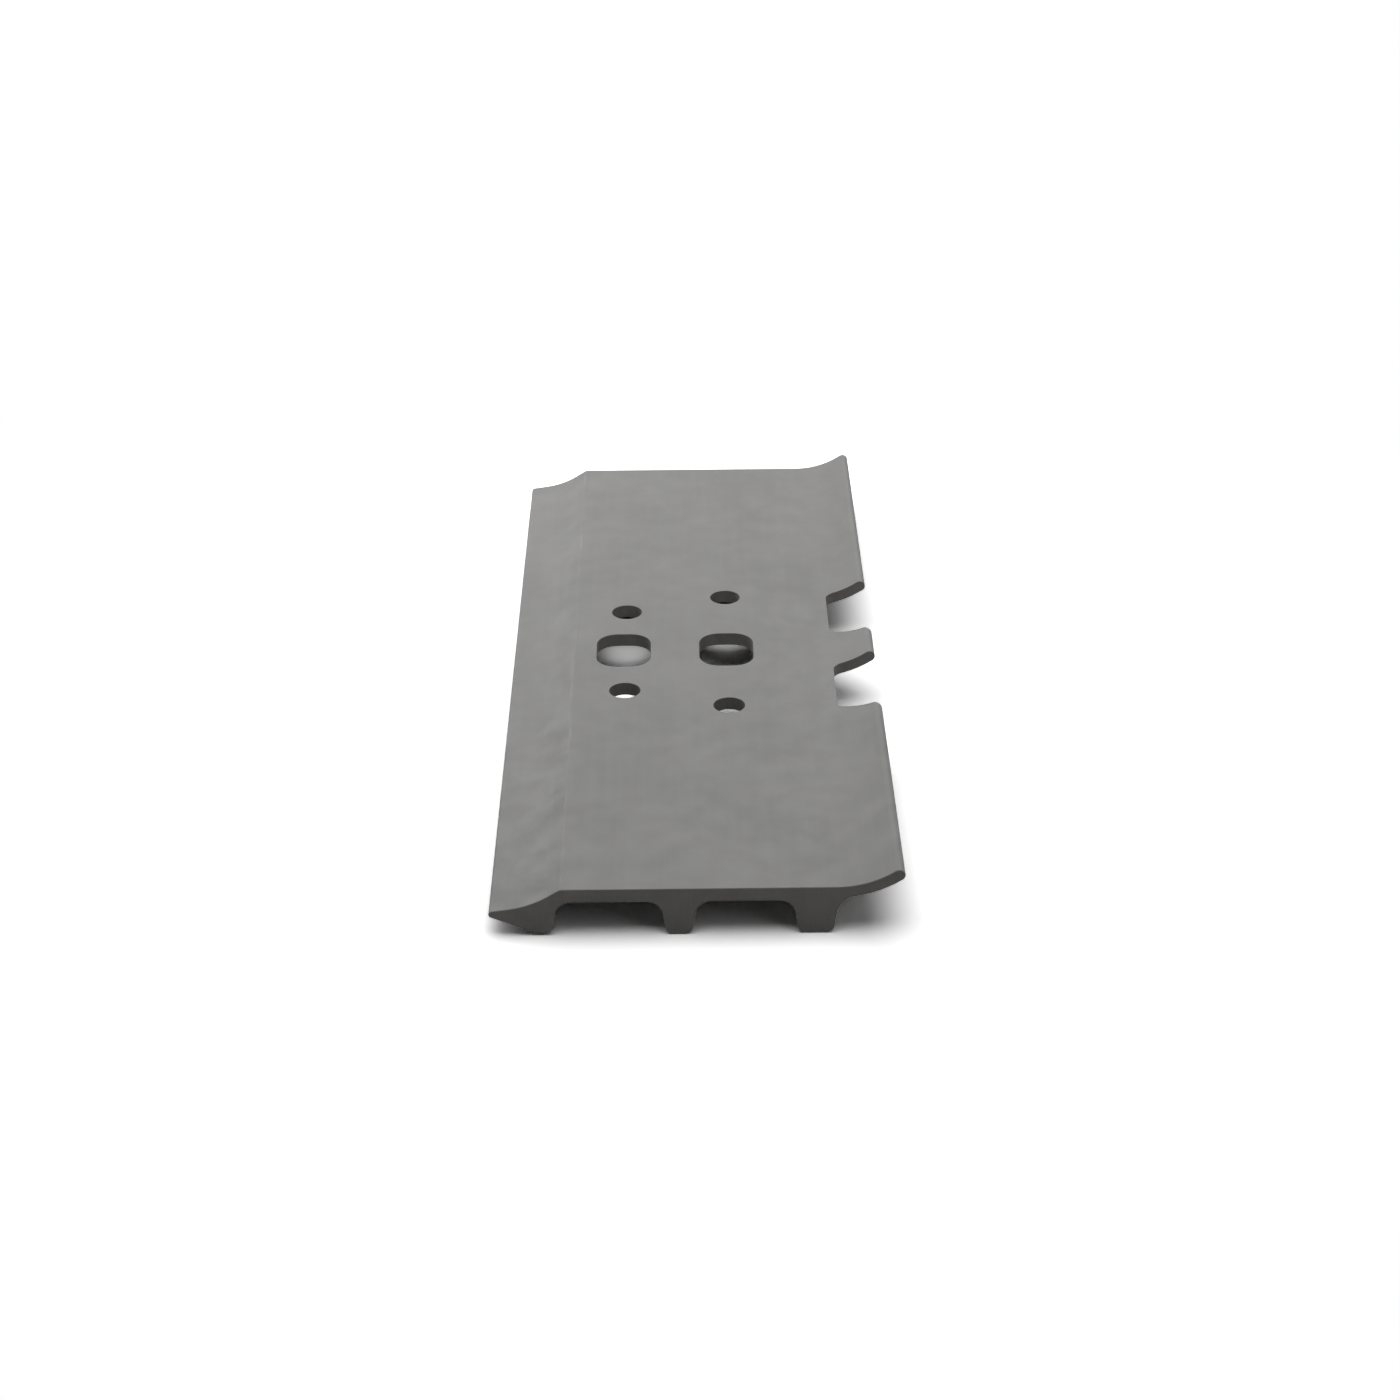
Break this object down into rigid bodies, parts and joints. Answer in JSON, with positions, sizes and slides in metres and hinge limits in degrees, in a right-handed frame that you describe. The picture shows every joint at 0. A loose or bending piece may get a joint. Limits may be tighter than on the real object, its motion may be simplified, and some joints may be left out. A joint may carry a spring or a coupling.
{
  "type": "excavator track shoe",
  "caption": "Triple-grouser steel track shoe with a ramped toe, an upturned notched lip, bolt holes and rounded clean-out slots.",
  "frame": {"origin": "on the flat link seat, at the middle of the bolt holes", "axes": "+X across the section from the ramped toe to the upturned lip, +Y along the shoe, +Z out of the link seat, away from the ground; the shoe stands on its grousers"},
  "size_m": [0.2455, 0.6, 0.0433],
  "materials": {
    "primed_steel": "matt grey primer on rolled steel"
  },
  "bodies": {
    "root": {"track_shoe": "primed_steel"}
  },
  "joints": []
}
